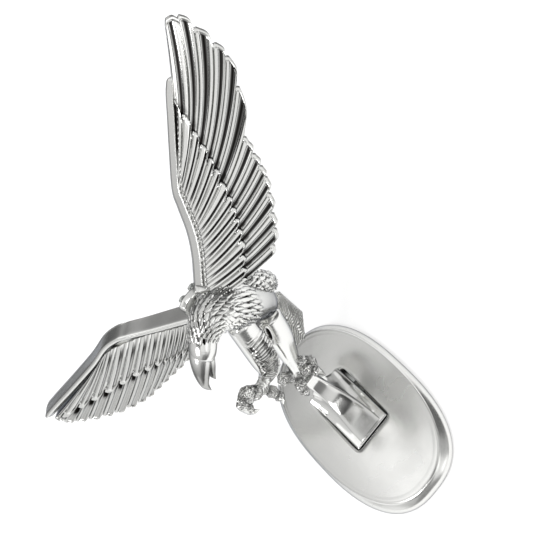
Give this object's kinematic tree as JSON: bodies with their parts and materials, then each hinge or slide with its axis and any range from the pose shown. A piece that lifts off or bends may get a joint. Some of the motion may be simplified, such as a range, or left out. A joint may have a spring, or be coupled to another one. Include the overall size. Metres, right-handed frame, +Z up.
{
  "type": "hood ornament",
  "caption": "Chromed bird-of-prey hood ornament with raised, swept-back wings on a sprung pedestal that tilts in a domed oval base.",
  "frame": {"origin": "centre of the bonding face under the base", "axes": "+Z up from the hood, +X along the base towards the bird's chest, +Y the bird's left"},
  "size_m": [0.1083, 0.1321, 0.1085],
  "materials": {
    "bright_chrome": "bright chrome plate on zinc die castings, polished",
    "zinc_plated_steel": "zinc plated, satin",
    "black_rubber": "moulded, matt",
    "white_foam": "closed-cell acrylic foam tape, matt"
  },
  "bodies": {
    "base": {"base_shell": "bright_chrome", "base_plate": "zinc_plated_steel", "plate_screw_front_left": "zinc_plated_steel", "plate_screw_front_right": "zinc_plated_steel", "plate_screw_rear_left": "zinc_plated_steel", "plate_screw_rear_right": "zinc_plated_steel", "adhesive_pad": "white_foam", "pivot_pin": "zinc_plated_steel", "pin_clip_left": "zinc_plated_steel", "pin_clip_right": "zinc_plated_steel", "return_spring_left": "zinc_plated_steel", "return_spring_right": "zinc_plated_steel", "stop_bumper": "black_rubber"},
    "bird": {"pedestal": "bright_chrome", "foot_rivet": "zinc_plated_steel", "left_leg": "bright_chrome", "right_leg": "bright_chrome", "body": "bright_chrome", "tail": "bright_chrome", "wing_yoke": "bright_chrome", "yoke_screw_left": "zinc_plated_steel", "yoke_screw_right": "zinc_plated_steel", "left_wing": "bright_chrome", "right_wing": "bright_chrome"}
  },
  "joints": [
    {"name": "pedestal_tilt", "type": "hinge", "parent": "base", "child": "bird", "pos_m": [-0.004, 0, 0.0036], "axis": [0, -1, 0], "range_deg": [0, 12], "stiffness_Nm_per_rad": 0.35, "springref_deg": -20.05}
  ]
}
